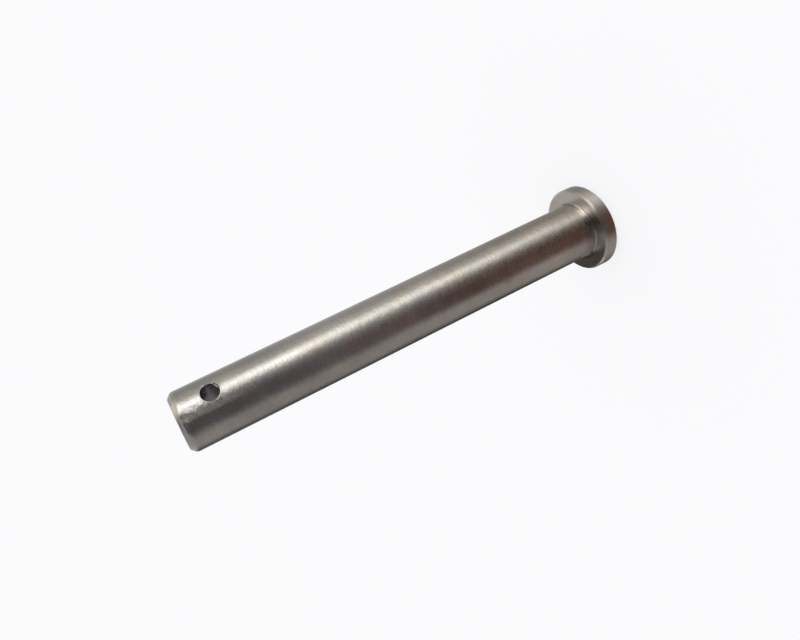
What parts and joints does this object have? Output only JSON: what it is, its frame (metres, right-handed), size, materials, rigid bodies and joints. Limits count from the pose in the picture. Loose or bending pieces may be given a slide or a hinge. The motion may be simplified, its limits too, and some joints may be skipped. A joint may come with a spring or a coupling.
{
  "type": "clutch lever pivot pin",
  "caption": "Headed pivot pin in satin ground steel: a thin flat head, a long plain shank with a chamfered end, and a cross-drilled split-pin hole near that end.",
  "frame": {"origin": "centre of the head's outer flat face, on which the pin stands", "axes": "+Z along the shank, from the head to the plain end; Y along the split-pin hole"},
  "size_m": [0.0142, 0.0142, 0.0754],
  "materials": {
    "ground_steel": "satin ground steel with fine grinding marks round the shank and turning marks on the head"
  },
  "bodies": {
    "root": {"pivot_pin": "ground_steel"}
  },
  "joints": []
}
